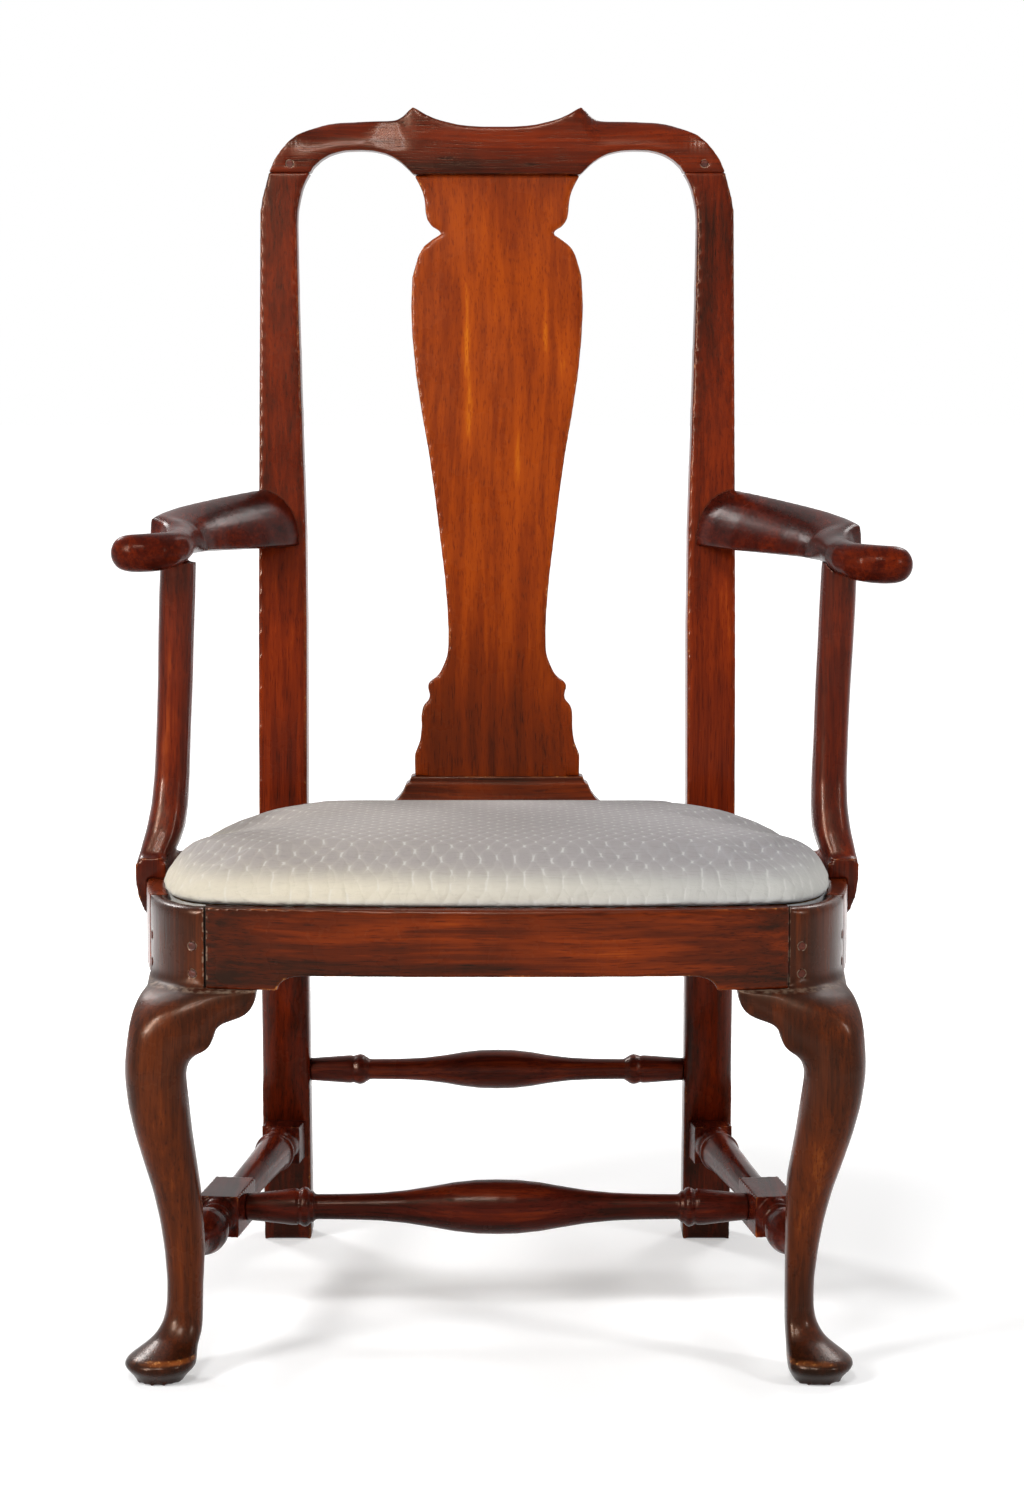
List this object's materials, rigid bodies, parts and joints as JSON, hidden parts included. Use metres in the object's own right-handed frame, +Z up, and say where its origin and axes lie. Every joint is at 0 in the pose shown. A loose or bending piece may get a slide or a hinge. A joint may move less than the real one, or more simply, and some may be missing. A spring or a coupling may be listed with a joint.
{
  "type": "queen anne armchair",
  "caption": "High-backed wooden armchair with a vase-shaped splat, cabriole front legs, scrolled arms, turned stretchers and a lift-out upholstered seat.",
  "frame": {"origin": "on the floor under the centre of the chair's bounding box", "axes": "+X to the right of someone who looks at the chair's front, +Y from the front to the back, +Z up"},
  "size_m": [0.6959, 0.5472, 1.09],
  "materials": {
    "frame_wood": "aged glossy finish",
    "splat_wood": "aged glossy finish",
    "peg_wood": "satin",
    "secondary_wood": "raw",
    "iron": "dull",
    "webbing": "woven",
    "linen": "woven",
    "seat_cover": "woven"
  },
  "bodies": {
    "chair_frame": {"rear_post_left": "frame_wood", "rear_post_right": "frame_wood", "crest_rail": "frame_wood", "splat": "splat_wood", "splat_shoe": "frame_wood", "rear_seat_rail": "frame_wood", "front_seat_rail": "frame_wood", "side_seat_rail_left": "frame_wood", "side_seat_rail_right": "frame_wood", "front_leg_left": "frame_wood", "front_leg_right": "frame_wood", "knee_bracket_front_left": "frame_wood", "knee_bracket_front_right": "frame_wood", "knee_bracket_side_left": "frame_wood", "knee_bracket_side_right": "frame_wood", "corner_blocks": "secondary_wood", "seat_cleat": "secondary_wood", "arm_left": "frame_wood", "arm_right": "frame_wood", "arm_support_left": "frame_wood", "arm_support_right": "frame_wood", "side_stretcher_left": "frame_wood", "side_stretcher_right": "frame_wood", "medial_stretcher": "frame_wood", "rear_stretcher": "frame_wood", "crest_pegs": "peg_wood", "front_leg_pegs": "peg_wood", "rear_post_pegs": "peg_wood", "arm_screws": "iron", "arm_screw_plugs": "peg_wood", "arm_support_screws": "iron", "shoe_nails": "iron"},
    "slip_seat": {"slip_frame_front": "secondary_wood", "slip_frame_rear": "secondary_wood", "slip_frame_left": "secondary_wood", "slip_frame_right": "secondary_wood", "slip_frame_pegs": "peg_wood", "seat_webbing": "webbing", "seat_linen": "linen", "seat_cover_turning": "seat_cover", "cover_tacks": "iron", "seat_cushion": "seat_cover"}
  },
  "joints": [
    {"name": "seat_lift", "type": "slide", "parent": "chair_frame", "child": "slip_seat", "axis": [0, 0, 1], "range_m": [0, 0.08]}
  ]
}
